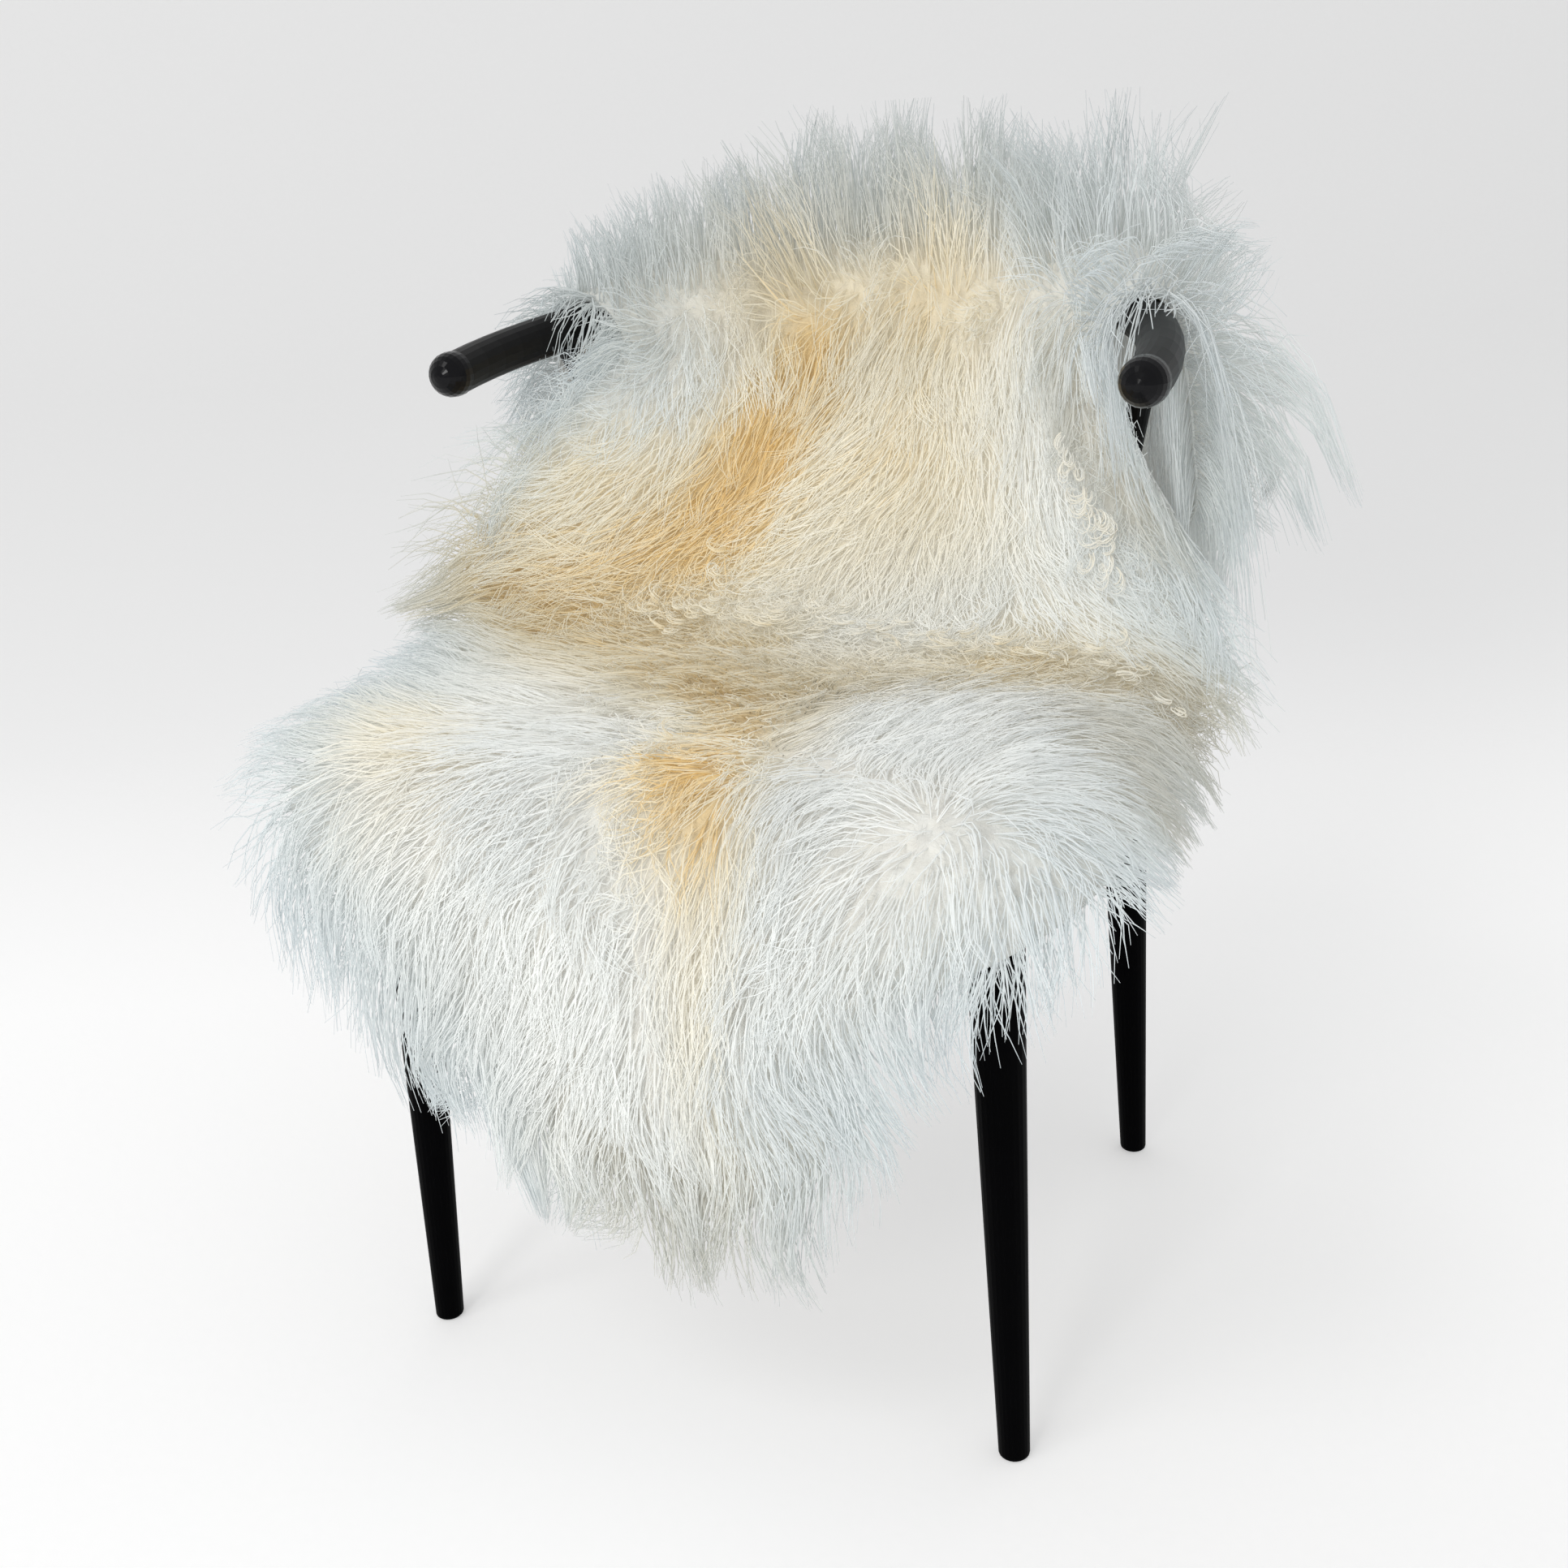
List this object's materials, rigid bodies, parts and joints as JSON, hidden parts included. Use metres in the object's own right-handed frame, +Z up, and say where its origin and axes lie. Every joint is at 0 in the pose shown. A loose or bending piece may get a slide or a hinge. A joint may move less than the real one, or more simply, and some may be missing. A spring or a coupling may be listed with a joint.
{
  "type": "sheepskin rug on a chair",
  "caption": "Long-haired ivory sheepskin rug draped over the seat and round back rail of a plain black dining chair, its tip hanging in front.",
  "frame": {"origin": "on the floor, at the middle of the whole object's footprint", "axes": "+Z up, -Y the way the chair faces, +X to the right of one who looks at its front"},
  "size_m": [0.6899, 0.7064, 0.8539],
  "materials": {
    "black_metal": "satin",
    "glossy_cap": "gloss",
    "seat_cover": "matte",
    "ivory_wool": "long wool",
    "lock_wool": "long wool"
  },
  "bodies": {
    "root": {"leg_front_left": "black_metal", "leg_front_right": "black_metal", "leg_rear_left": "black_metal", "leg_rear_right": "black_metal", "back_rail": "black_metal", "strut_left": "black_metal", "strut_right": "black_metal", "rail_cap_left": "glossy_cap", "rail_cap_right": "glossy_cap", "seat": "seat_cover", "fleece": "ivory_wool", "rim_locks_01": "lock_wool", "rim_locks_02": "lock_wool", "rim_locks_03": "lock_wool", "rim_locks_04": "lock_wool", "rim_locks_05": "lock_wool", "rim_locks_06": "lock_wool", "rim_locks_07": "lock_wool", "rim_locks_08": "lock_wool", "rim_locks_09": "lock_wool", "rim_locks_10": "lock_wool", "rim_locks_11": "lock_wool", "rim_locks_12": "lock_wool", "rim_locks_13": "lock_wool", "rim_locks_14": "lock_wool", "rim_locks_15": "lock_wool", "rim_locks_16": "lock_wool"}
  },
  "joints": []
}
